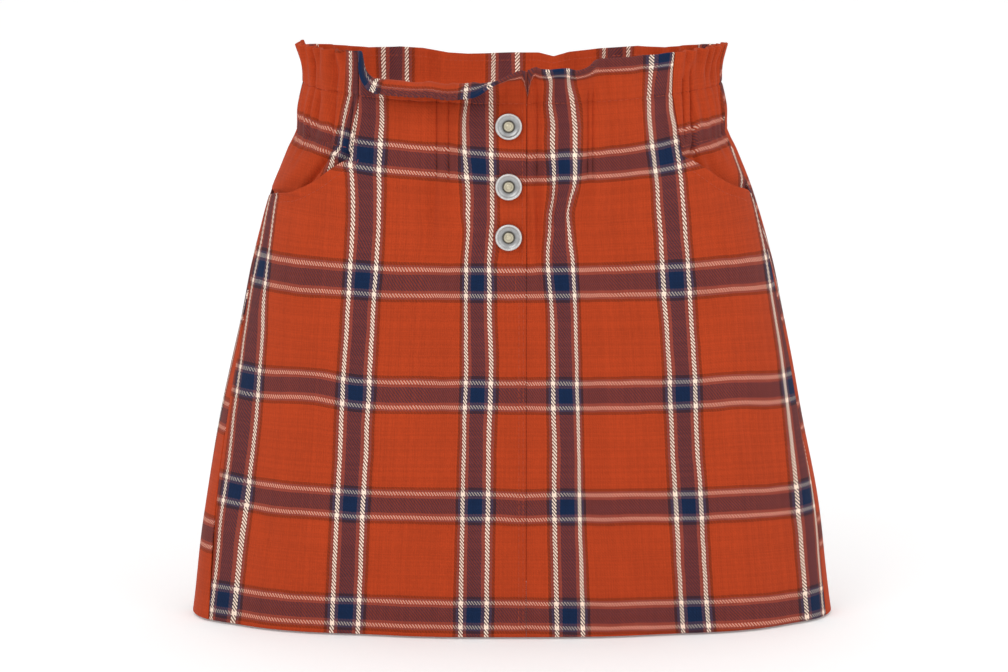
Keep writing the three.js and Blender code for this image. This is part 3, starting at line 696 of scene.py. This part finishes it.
def addYoke(side):
    piece = yokePiece
    isLeft, sign = side == "left", signs[side]
    heights, climb = bodyRows(piece)
    seam = sideSeam(side, heights)
    seam = seam - sign * halfGapAngle(seam, heights)
    under = smooth(-heights, *piece["underStarts"]) * cut["yokeUnder"]
    start = angleAt(seamStart(side, heights) + sign * (piece["overlap"] - under), heights)
    start = start + sign * halfGapAngle(start, heights)
    low, high = (seam, start) if isLeft else (start, seam)
    angles, arcs, high, rise = gridOf(piece, heights, climb, low, high, isLeft)
    thick = clothThickness(piece, high)
    x = ringPoint(angles, high)[0][0]
    nearEdge = smooth(fromSide(arcs), *piece["flatEdge"])
    middle = yokePoint(side, angles, high, rise, thick / 2, nearEdge)
    lie = yokeCloth[side] | yokeCloth["both"]
    leans = smooth(high + cut["headerRise"] * rise, *lie["bandLeans"])
    apart = np.abs(arcs) - under[:, None] - mix(lie["bandAt"], lie["bandTop"], leans)
    apart = apart - lie["slide"] * np.clip(cut["lowerStitch"] - high, 0, lie["slideMost"])
    squeezed = np.clip(apart, -lie["squeezeMost"], lie["squeezeMost"])
    apart = apart + lie["squeeze"] * smooth(high, *lie["squeezeAt"]) * squeezed
    level = lie["bandUp"] + lie["tilt"] * smooth(np.abs(x), *lie["tiltX"])
    up = lie["stretch"] * (high - level) + cut["headerRise"] * rise
    up = up + lie["pressUp"] * yokePress(side, x, high, rise)
    cloth = np.stack([sign * apart, up], -1)
    thick = thick * foldedEdges(piece, arcs, heights, climb)
    addShell(f"hip_yoke_{side}_cloth", middle, thick, cloth, facing(cloth, high))


for side in ("left", "right"):
    addYoke(side)
print("yokes ready")

backPiece = {
    "columns": 400, "climbs": 14, "fold": 1.2, "bottom": -296.0, "rise": 19.0,
    "thickness": 1.0, "hemThickness": 1.15, "headerThickness": 1.9,
    "rows": [(-295.2, -100, 56), (-100, -20, 34), (-20, 13.8, 20)],
}
backBand = {
    "across": -4.0, "up": 12.0, "header": 20.0, "taken": 7.5, "takenHeight": 310.0, "between": (10.0, 30.0),
    "aside": -17.0, "asideX": (150.0, 215.0), "asideAt": (40.0, 130.0),
    "dropped": 5.0, "dropAt": (190.0, 250.0),
}


def addBack():
    piece = backPiece
    heights, climb = bodyRows(piece)
    low, high = sideSeam("right", heights), sideSeam("left", heights) + 360
    low, high = low + halfGapAngle(low, heights), high - halfGapAngle(high, heights)
    angles, arcs, high, rise = gridOf(piece, heights, climb, low, high)
    middleArc = np.array([np.interp(180.0, row, steps) for row, steps in zip(angles, arcs)])
    thick = clothThickness(piece, high)
    middle = clothPoint(angles, high, rise, thick / 2)
    # The gathers take in cloth between one band and the next
    along = middleArc[:, None] - arcs - backBand["across"]
    gathered = np.clip((high - cut["hem"]) / backBand["takenHeight"], 0, 1) ** 1.5 * backBand["taken"]
    pitch = check["across"] - gathered
    band = np.floor(along / pitch + 0.5)
    apart = along - band * pitch
    past = smooth(apart, *backBand["between"]) - smooth(-apart, *backBand["between"])
    across = band * check["across"] + apart + gathered * past / 2
    aside = smooth(np.abs(along), *backBand["asideX"]) * smooth(-high, *backBand["asideAt"])
    across -= np.sign(along) * backBand["aside"] * aside
    up = high - backBand["up"] + backBand["header"] * rise
    up += backBand["dropped"] * smooth(-high, *backBand["dropAt"])
    cloth = np.stack([across, up], -1)
    thick = thick * foldedEdges(piece, arcs, heights, climb)
    addShell("back_cloth", middle, thick, cloth, facing(cloth, high))


addBack()

underlap = {
    "start": -14.0, "end": 22.0, "bottom": -92.0, "top": 12.0, "clearance": 0.8, "half": 0.5, "fold": 0.6,
    "wall": (1.3, 2.2), "wallGrows": (-19.0, -13.8), "across": 60.0, "up": 15.0,
}


def addUnderlap():
    strip = underlap
    turn, sides = np.array([0, 0.1, 0.3]), np.array([0, 0.004, 0.01])
    level = np.linspace(strip["bottom"] + 0.6, strip["top"] - 0.6, 40)
    heights = np.concatenate([strip["bottom"] + turn, level, strip["top"] - turn[::-1]])
    share = np.concatenate([sides, np.linspace(0.02, 0.98, 20), 1 - sides[::-1]])
    x = mix(strip["start"], strip["end"], share)[None, :] + 0 * heights[:, None]
    high = heights[:, None] + 0 * x
    wall = mix(*strip["wall"], smooth(high, *strip["wallGrows"]))
    middle = clothPoint(angleAt(x, high), high, 0 * x, wall + strip["clearance"] + strip["half"])
    sideways = np.minimum(x - strip["start"], strip["end"] - x)
    rim = np.minimum(high - strip["bottom"], strip["top"] - high)
    folded = foldShare(sideways, strip["fold"]) * foldShare(rim, strip["fold"])
    cloth = np.stack([x + strip["across"], high + strip["up"]], -1)
    addShell("placket_underlap_cloth", middle, folded, cloth)


addUnderlap()
print("back and underlap ready")

# A dished jeans button: radius and rise from the back round the rim to the cap
buttonProfile = [
    (0.0, 0.0), (6.9, 0.0), (7.35, 0.25), (7.6, 0.9), (7.6, 1.5), (7.5, 2.05), (7.2, 2.5), (6.8, 2.65),
    (6.4, 2.6), (6.1, 2.35), (5.7, 2.0), (5.2, 1.72), (4.6, 1.52), (4.0, 1.4), (3.6, 1.32), (3.35, 1.25),
    (3.2, 1.3), (3.05, 1.7), (2.95, 2.15), (2.75, 2.45), (2.4, 2.6), (1.95, 2.62), (1.75, 2.5), (1.5, 2.48),
    (1.3, 2.62), (0.8, 2.7), (0.0, 2.72),
]
buttons = {"x": -2.0, "heights": (3.2, -29.0, -62.0), "gap": 0.3, "lift": 0.5, "reach": 5.0, "segments": 72}


def addButton(number, height):
    angle = angleAt(buttons["x"], height)
    below, seat, above = [clothPoint(angle, height + step, 0.0, -buttons["gap"])
                          for step in (-buttons["reach"], 0.0, buttons["reach"])]
    up = above - below
    up /= np.linalg.norm(up)
    out = np.array([*ringPoint(angle, height)[1], 0.0])
    out -= up * np.dot(out, up)
    out /= np.linalg.norm(out)
    side = np.cross(up, out)
    base = seat + out * buttons["lift"]
    count = buttons["segments"]
    turns = np.linspace(0, 2 * np.pi, count, endpoint=False)
    around = np.cos(turns)[:, None] * side + np.sin(turns)[:, None] * up
    loops = [base + out * rise + radius * around for radius, rise in buttonProfile[1:-1]]
    points = np.concatenate(loops + [[base], [base + out * buttonProfile[-1][1]]])
    radii = np.concatenate([np.full(count, radius) for radius, rise in buttonProfile[1:-1]] + [[0, 0]])
    bottom, top, last = len(points) - 2, len(points) - 1, (len(loops) - 1) * count
    faces = []
    for k in range(count):
        after = (k + 1) % count
        for start in range(0, last, count):
            faces.append((start + k, start + after, start + count + after, start + count + k))
        faces.append((bottom, after, k))
        faces.append((top, last + k, last + after))
    # The metal's colours go by the distance from the middle
    addMesh(f"button_{number}_metal", points * mm, faces, np.stack([radii, (points - base) @ out], -1))


for number, height in enumerate(buttons["heights"], 1):
    addButton(number, height)
print("buttons ready")


# Lines of stitching: capsules of thread lying along a run of places on the cloth
thread = {"length": 2.5, "gap": 0.7, "radius": 0.14, "paintedShade": 0.02, "sides": 6, "place": (36.0, 31.0)}
threadProfile = columns("at width", [
    (-0.5, 0.25), (-0.42, 0.8), (-0.2, 1.0), (0.2, 1.0), (0.42, 0.8), (0.5, 0.25),
])


def addStitches(name, runs):
    sides, loops = thread["sides"], len(threadProfile["at"])
    reach, width = thread["length"] * (0.5 + threadProfile["at"]), thread["radius"] * threadProfile["width"]
    turns = np.linspace(0, 2 * np.pi, sides, endpoint=False)
    points, faces = [], []
    for run in runs:
        along = np.concatenate([[0], np.cumsum(np.linalg.norm(np.diff(run, axis=0), axis=1))])
        count = max(int(along[-1] / (thread["length"] + thread["gap"])), 1)
        for start in np.arange(count) * along[-1] / count:
            spine = np.stack([np.interp(start + reach, along, run[:, axis]) for axis in range(3)], -1)
            way = spine[-1] - spine[0]
            way /= np.linalg.norm(way)
            side = np.cross(way, (0.31, 0.87, 0.38))
            side /= np.linalg.norm(side)
            around = np.cos(turns)[:, None] * side + np.sin(turns)[:, None] * np.cross(way, side)
            first = len(points) * loops * sides
            last = first + (loops - 1) * sides
            points.append((spine[:, None] + width[:, None, None] * around).reshape(-1, 3))
            for ring in range(first, last, sides):
                for k in range(sides):
                    a, b = ring + k, ring + (k + 1) % sides
                    faces.append((a, b, b + sides, a + sides))
            faces.append(tuple(range(first + sides - 1, first - 1, -1)))
            faces.append(tuple(range(last, last + sides)))
    points = np.concatenate(points)
    addMesh(name, points * mm, faces, np.tile([thread["place"]], (len(points), 1)))


def evenly(low, high, step=1.5):
    return np.linspace(low, high, max(int(abs(high - low) / step), 2))


def frontRun(side, x, height):
    return frontPoint(side, angleAt(x, height), height, 0.0, -thread["paintedShade"])


def casingRun(low, high, height, pointAt, *side):
    angles = evenly(low, high, 0.5)
    return pointAt(*side, angles, np.full(len(angles), height), np.zeros(len(angles)), -thread["paintedShade"])


stitching = {
    "inMouth": 4.6, "pastMouth": 1.0, "centre": (1.8, 4.2), "centreHeights": (-100.0, -290.0),
    "tackX": 2.0, "tackHeights": (-86.0, -100.0), "inPlacket": 2.4, "placketHeights": (-80.0, 12.0),
    "fromSeam": 0.6, "toSeam": 0.5, "backEdge": (96.0, 264.0), "underEdge": 4.6, "clear": 0.05,
}
casingLines = (cut["upperStitch"], cut["lowerStitch"])


def mouthRun(side):
    heights = evenly(*(mouth["height"][[0, -1]] + stitching["pastMouth"]), 0.8)
    sign = signs[side]
    edge = frontSideEdge(side, heights)
    x, z = ringPoint(edge, heights)[0][0], heights
    slopeX, slopeZ = np.gradient(x), np.gradient(z)
    size = np.hypot(slopeX, slopeZ)
    inX, inZ = -sign * np.abs(slopeZ) / size, -np.abs(slopeX) / size
    inside = stitching["inMouth"]
    return frontRun(side, x + inX * inside, z + inZ * inside)


# The front's stitches, and its yoke's
def addSideStitches(side):
    sign = signs[side]
    start, stop = sign * stitching["fromSeam"], sign * stitching["toSeam"]
    upper = cut["upperStitch"]
    centre, edge = angleAt(cut["seamX"], upper), angleAt(seamStart(side, upper), upper)
    runs = [casingRun(centre + start, edge - stop, upper, frontPoint, side), mouthRun(side)]
    if side == "left":
        upright = [(cut["seamX"] - away, "centreHeights") for away in stitching["centre"]]
        upright.append((stitching["tackX"], "tackHeights"))
        upright.append((placket["edgeX"] - stitching["inPlacket"], "placketHeights"))
        runs += [frontRun(side, x, evenly(*stitching[heights])) for x, heights in upright]
    addStitches(f"stitches_front_{side}", runs)
    runs = []
    for line in casingLines:
        edge, seam = angleAt(seamStart(side, line), line), sideSeam(side, line)
        runs.append(casingRun(edge + start, seam - stop, line, yokePoint, side))
    addStitches(f"stitches_hip_yoke_{side}", runs)


# The back's casing, and the line inside that holds its header's turned edge
def addBackStitches():
    low = cut["hip"]["right"] + stitching["fromSeam"]
    high = cut["hip"]["left"] + 360 - stitching["fromSeam"]
    runs = [casingRun(low, high, line, clothPoint) for line in casingLines]
    angles = evenly(*stitching["backEdge"], 0.5)
    climb = 1 - stitching["underEdge"] / backHeader["rise"]
    inset = backPiece["headerThickness"] + stitching["clear"]
    runs.append(clothPoint(angles, cut["upperStitch"], climb, inset))
    addStitches("stitches_back", runs)


for side in ("left", "right"):
    addSideStitches(side)
addBackStitches()
print("stitching ready")


# Node helpers: a value may be a number or another node's output
def link(tree, value, socket):
    if isinstance(value, bpy.types.NodeSocket):
        tree.links.new(value, socket)
    else:
        socket.default_value = value


def setInputs(tree, node, values):
    for name, value in values.items():
        link(tree, value, node.inputs[name])


def calc(tree, operation, *values):
    node = tree.nodes.new("ShaderNodeMath")
    node.operation = operation
    for socket, value in zip(node.inputs, values):
        link(tree, value, socket)
    return node.outputs[0]


def blendColor(tree, kind, factor, first, second):
    node = tree.nodes.new("ShaderNodeMix")
    node.data_type = "RGBA"
    node.blend_type = kind
    for socket, value in ((node.inputs["Factor"], factor), (node.inputs[6], first), (node.inputs[7], second)):
        link(tree, value, socket)
    return node.outputs[2]


def remap(tree, value, low, high, first=0.0, second=1.0):
    node = tree.nodes.new("ShaderNodeMapRange")
    node.interpolation_type = "SMOOTHSTEP"
    for socket, amount in zip(node.inputs, (value, low, high, first, second)):
        link(tree, amount, socket)
    return node.outputs[0]


def ramp(tree, value, stops, kind="CONSTANT"):
    node = tree.nodes.new("ShaderNodeValToRGB")
    node.color_ramp.interpolation = kind
    spots = node.color_ramp.elements
    while len(spots) < len(stops):
        spots.new(0.5)
    for spot, (place, color) in zip(spots, stops):
        spot.position = place
    for spot, (place, color) in zip(spots, stops):
        spot.position, spot.color = place, color
    tree.links.new(value, node.inputs[0])
    return node.outputs[0], node.outputs[1]


def noise(tree, vector, scale, detail=2.0, rough=0.5):
    node = tree.nodes.new("ShaderNodeTexNoise")
    setInputs(tree, node, {"Vector": vector, "Scale": scale, "Detail": detail, "Roughness": rough})
    return node.outputs["Fac"]


# Noise over the cloth, stretched one way
def grain(tree, vector, across, up, detail, rough):
    node = tree.nodes.new("ShaderNodeVectorMath")
    node.operation = "MULTIPLY"
    link(tree, vector, node.inputs[0])
    link(tree, (across, up, 1), node.inputs[1])
    return noise(tree, node.outputs[0], 1.0, detail, rough)


def newGroup(name, inputs, outputs):
    tree = bpy.data.node_groups.new(name, "ShaderNodeTree")
    for label, kind in inputs:
        tree.interface.new_socket(label, in_out="INPUT", socket_type=kind)
    for label, kind in outputs:
        tree.interface.new_socket(label, in_out="OUTPUT", socket_type=kind)
    return tree, tree.nodes.new("NodeGroupInput").outputs, tree.nodes.new("NodeGroupOutput").inputs


# The yarns' linear colours, the threads in a repeat, and the check's bands from their middles out
yarns = {
    "rust": (0.414, 0.0449, 0.0094, 0), "ember": (0.15, 0.056, 0.07, 0), "navy": (0.0035, 0.0165, 0.056, 0),
    "dusk": (0.13, 0.019, 0.006, 0), "cream": (0.96, 0.76, 0.62, 1),
}
twill = {
    "warpThreads": 180, "weftThreads": 118, "shown": 0.31, "blended": 0.36, "creamShade": 0.66,
    "weftHidden": 0.16, "creamHidden": 0.46, "bareLit": 0.75, "span": 20.0, "threadTones": (0.90, 1.10),
    "wander": 1.1, "ridge": 0.35, "threads": 0.1, "napContrast": 2.0,
    "warpBands": [
        (0, "navy"), (4.0, "ember"), (6.3, "cream"), (8.6, "ember"), (10.1, "dusk"), (12.0, "rust"),
    ],
    "weftBands": [
        (0, "navy"), (4.4, "ember"), (6.0, "cream"), (7.8, "ember"), (9.2, "dusk"), (11.0, "rust"),
    ],
}
# Noise in the cloth: how fine across and up, its detail and roughness
grains = {
    "wander": (0.06, 0.06, 2.0, 0.5), "clouds": (0.035, 0.03, 4.0, 0.55),
    "streaksUp": (1.9, 0.22, 3.0, 0.6), "streaksAcross": (0.24, 2.1, 3.0, 0.6),
    "puckers": (0.055, 0.045, 3.0, 0.5),
}
napShares = {"streaksUp": 0.4, "streaksAcross": 0.3, "clouds": 0.3}
warpPitch = check["across"] / twill["warpThreads"]
weftPitch = check["up"] / twill["weftThreads"]


# One set of yarns: each thread's number, its colour with a little drift in tone, and whether it is cream
def yarnSet(tree, place, pitch, repeat, bands):
    at = calc(tree, "FLOOR", calc(tree, "DIVIDE", place, pitch))
    middle = calc(tree, "MULTIPLY", calc(tree, "ADD", at, 0.5), pitch)
    away = calc(tree, "DIVIDE", calc(tree, "PINGPONG", middle, repeat / 2), twill["span"])
    color, cream = ramp(tree, away, [(start / twill["span"], yarns[yarn]) for start, yarn in bands])
    tone = tree.nodes.new("ShaderNodeTexWhiteNoise")
    tone.noise_dimensions = "1D"
    link(tree, at, tone.inputs["W"])
    level = remap(tree, tone.outputs["Value"], 0.0, 1.0, *twill["threadTones"])
    return at, blendColor(tree, "MULTIPLY", 1.0, color, level), cream


def plaidGroup():
    tree, given, result = newGroup(
        "woven plaid twill",
        [("Cloth", "NodeSocketVector"), ("Fade", "NodeSocketFloat")],
        [("Color", "NodeSocketColor"), ("Weave", "NodeSocketFloat"), ("Slub", "NodeSocketFloat")],
    )

    def inverse(value):
        return calc(tree, "SUBTRACT", 1.0, value)

    def times(first, second):
        return calc(tree, "MULTIPLY", first, second)

    def plus(first, second):
        return calc(tree, "ADD", first, second)

    split = tree.nodes.new("ShaderNodeSeparateXYZ")
    link(tree, given["Cloth"], split.inputs[0])
    wander = grain(tree, given["Cloth"], *grains["wander"])
    drift = times(calc(tree, "SUBTRACT", wander, 0.5), twill["wander"])
    u, v = plus(split.outputs[0], drift), plus(split.outputs[1], drift)
    warpAt, warpColor, warpCream = yarnSet(tree, u, warpPitch, check["across"], twill["warpBands"])
    weftAt, weftColor, weftCream = yarnSet(tree, v, weftPitch, check["up"], twill["weftBands"])
    step = calc(tree, "FRACT", calc(tree, "DIVIDE", plus(warpAt, weftAt), 4.0))
    warpOnTop = calc(tree, "LESS_THAN", step, 0.5)
    shown = blendColor(tree, "MIX", warpOnTop, weftColor, warpColor)
    # The warp covers a little of every weft yarn, and half of the cream one
    bare = times(weftCream, inverse(warpCream))
    covered = plus(twill["weftHidden"], times(bare, twill["creamHidden"]))
    shown = blendColor(tree, "MIX", covered, shown, warpColor)
    creamTop = plus(times(warpOnTop, warpCream), times(inverse(warpOnTop), weftCream))
    gamma = tree.nodes.new("ShaderNodeGamma")
    setInputs(tree, gamma, {"Color": blendColor(tree, "MULTIPLY", 1.0, warpColor, weftColor), "Gamma": 0.5})
    creamHere = calc(tree, "MAXIMUM", warpCream, weftCream)
    share = plus(twill["shown"], times(creamHere, 1.0 - twill["shown"]))
    ground = blendColor(tree, "MIX", 0.5, warpColor, weftColor)
    ground = blendColor(tree, "MIX", twill["blended"], gamma.outputs[0], ground)
    woven = blendColor(tree, "MIX", share, ground, shown)
    # Painted shade: beside a raised cream yarn the darker one is darkened, as if in that yarn's shadow
    paintedShade = times(calc(tree, "SUBTRACT", creamHere, creamTop), twill["creamShade"])
    paintedShade = times(paintedShade, inverse(times(bare, twill["bareLit"])))
    woven = blendColor(tree, "MULTIPLY", 1.0, woven, inverse(paintedShade))
    # Brushed nap: short streaks along both yarns, and soft clouds
    nap = 0.0
    for name, part in napShares.items():
        nap = plus(nap, times(grain(tree, given["Cloth"], *grains[name]), part))
    level = times(calc(tree, "SUBTRACT", nap, 0.5), twill["napContrast"])
    faded = plus(1.0, times(given["Fade"], level))
    link(tree, blendColor(tree, "MULTIPLY", 1.0, woven, faded), result["Color"])
    lean = plus(calc(tree, "DIVIDE", u, warpPitch), calc(tree, "DIVIDE", v, weftPitch))
    ridge = calc(tree, "SINE", times(lean, math.pi / 2))
    threads = calc(tree, "SINE", times(calc(tree, "DIVIDE", v, weftPitch), 2 * math.pi))
    weave = plus(times(ridge, twill["ridge"]), times(threads, twill["threads"]))
    link(tree, plus(weave, 0.5), result["Weave"])
    link(tree, nap, result["Slub"])
    return tree


def newMaterial(name, inputs):
    material = bpy.data.materials.new(name)
    material.use_nodes = True
    tree = material.node_tree
    shader = tree.nodes["Principled BSDF"]
    setInputs(tree, shader, inputs)
    return material, tree, shader


def clothPlace(tree):
    node = tree.nodes.new("ShaderNodeUVMap")
    node.uv_map = "clothMap"
    return node.outputs[0]


plaidWeave = plaidGroup()
clothLook = {
    "fade": 0.46, "weaveDepth": 0.10, "napDepth": 0.22, "puckerDepth": 0.9,
    "shader": {
        "Roughness": 0.92, "Specular IOR Level": 0.15,
        "Sheen Weight": 0.03, "Sheen Roughness": 0.6, "Sheen Tint": (1.0, 0.75, 0.6, 1),
    },
}


def clothMaterial():
    material, tree, shader = newMaterial("brushed plaid twill", clothLook["shader"])
    place = clothPlace(tree)
    weave = tree.nodes.new("ShaderNodeGroup")
    weave.node_tree = plaidWeave
    setInputs(tree, weave, {"Cloth": place, "Fade": clothLook["fade"]})
    link(tree, weave.outputs["Color"], shader.inputs["Base Color"])
    puckers = grain(tree, place, *grains["puckers"])
    last = shader.inputs["Normal"]
    for height, depth in (
        (puckers, "puckerDepth"), (weave.outputs["Slub"], "napDepth"), (weave.outputs["Weave"], "weaveDepth"),
    ):
        bump = tree.nodes.new("ShaderNodeBump")
        setInputs(tree, bump, {"Strength": 1.0, "Distance": clothLook[depth] * mm, "Height": height})
        link(tree, bump.outputs["Normal"], last)
        last = bump.inputs["Normal"]
    return material


# Bright at the rim, grey in the dish, dark round the brass cap: a painted highlight on the rim, and painted
# shade in the grooves in and round the cap and at the rim's outer edge; the radius is a share of 8 mm
metalLook = {
    "radius": 8.0, "grime": 0.16, "grimeSize": 620.0, "grimeDetail": 3.0, "grimeFrom": (0.3, 0.7),
    "shader": {"Metallic": 1.0, "Roughness": 0.36},
    "colors": [
        (0.0, (0.66, 0.60, 0.44, 1)), (0.15, (0.58, 0.52, 0.38, 1)), (0.2, (0.40, 0.36, 0.27, 1)),
        (0.26, (0.64, 0.58, 0.43, 1)), (0.36, (0.30, 0.27, 0.21, 1)), (0.42, (0.10, 0.09, 0.08, 1)),
        (0.50, (0.34, 0.34, 0.34, 1)), (0.70, (0.46, 0.46, 0.46, 1)), (0.78, (0.50, 0.49, 0.49, 1)),
        (0.84, (0.68, 0.66, 0.65, 1)), (0.93, (0.70, 0.68, 0.67, 1)), (0.95, (0.36, 0.35, 0.34, 1)),
    ],
}


def metalMaterial():
    look = metalLook
    material, tree, shader = newMaterial("pewter with painted highlight and shade", look["shader"])
    split = tree.nodes.new("ShaderNodeSeparateXYZ")
    link(tree, clothPlace(tree), split.inputs[0])
    radius = calc(tree, "DIVIDE", split.outputs[0], look["radius"])
    # The ramp paints the rim's highlight and the grooves' shade by radius; only the brass of the cap is the
    # metal's own colour
    color, _ = ramp(tree, radius, look["colors"], "LINEAR")
    spot = tree.nodes.new("ShaderNodeTexCoord").outputs["Object"]
    grime = noise(tree, spot, look["grimeSize"], look["grimeDetail"])
    level = remap(tree, grime, *look["grimeFrom"], 1.0 - look["grime"], 1.0)
    link(tree, blendColor(tree, "MULTIPLY", 1.0, color, level), shader.inputs["Base Color"])
    return material


threadLook = {
    "noise": 400.0, "shader": {"Roughness": 0.75},
    "colors": [(0.3, (0.36, 0.045, 0.014, 1)), (0.7, (0.50, 0.075, 0.026, 1))],
}


def threadMaterial():
    material, tree, shader = newMaterial("rust sewing thread", threadLook["shader"])
    spot = tree.nodes.new("ShaderNodeTexCoord").outputs["Object"]
    color, _ = ramp(tree, noise(tree, spot, threadLook["noise"]), threadLook["colors"], "LINEAR")
    link(tree, color, shader.inputs["Base Color"])
    return material


cloth = clothMaterial()
metal = metalMaterial()
threadPaint = threadMaterial()

for node in ("front_left", "front_right", "hip_yoke_left", "hip_yoke_right", "back", "placket_underlap"):
    piece = bpy.data.objects[f"{node}_cloth"]
    piece.data.materials.append(cloth)
    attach(piece, "root")
    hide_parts(node)
for number in (1, 2, 3):
    piece = bpy.data.objects[f"button_{number}_metal"]
    piece.data.materials.append(metal)
    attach(piece, "root")
    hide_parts(f"button_{number}")

for name in ("front_left", "front_right", "hip_yoke_left", "hip_yoke_right", "back"):
    piece = bpy.data.objects[f"stitches_{name}"]
    piece.data.materials.append(threadPaint)
    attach(piece, "root")

floorLook = {
    "Base Color": (0.93, 0.93, 0.93, 1), "Emission Color": (1, 1, 1, 1),
    "Emission Strength": studio["floorGlow"], "Roughness": 0.9,
}
low, reach = cut["hem"] - studio["floorGap"], studio["floorReach"]
corners = np.array([(-reach, -reach, low), (reach, -reach, low), (reach, reach, low), (-reach, reach, low)])
floor = addMesh("floor", corners * mm, [(0, 1, 2, 3)])
floor.data.materials.append(newMaterial("floor", floorLook)[0])

world = bpy.data.worlds.new("studio")
scene.world = world
world.use_nodes = True
sky = world.node_tree.nodes["Background"]
setInputs(world.node_tree, sky, {"Color": (1, 1, 1, 1), "Strength": studio["world"]})


def addLight(name, place, size, power, target=(0.0, 0.0, -0.13)):
    data = bpy.data.lights.new(name, "AREA")
    data.size = size
    data.energy = power
    lamp = bpy.data.objects.new(name, data)
    lamp.location = place
    aim = np.array(target) - np.array(place)
    turn = math.atan2(aim[1], aim[0])
    tilt = math.atan2(math.hypot(aim[0], aim[1]), -aim[2])
    lamp.rotation_euler = (tilt, 0.0, turn - math.pi / 2)
    scene.collection.objects.link(lamp)


addLight("keyLight", place=(-0.9, -1.6, 1.5), size=1.2, power=studio["key"])
addLight("fillLight", place=(1.3, -1.4, 0.9), size=1.2, power=studio["fill"])
addLight("insideLight", place=(0.0, -0.02, -0.06), size=0.1, power=studio["inside"], target=(0.0, 0.12, 0.04))
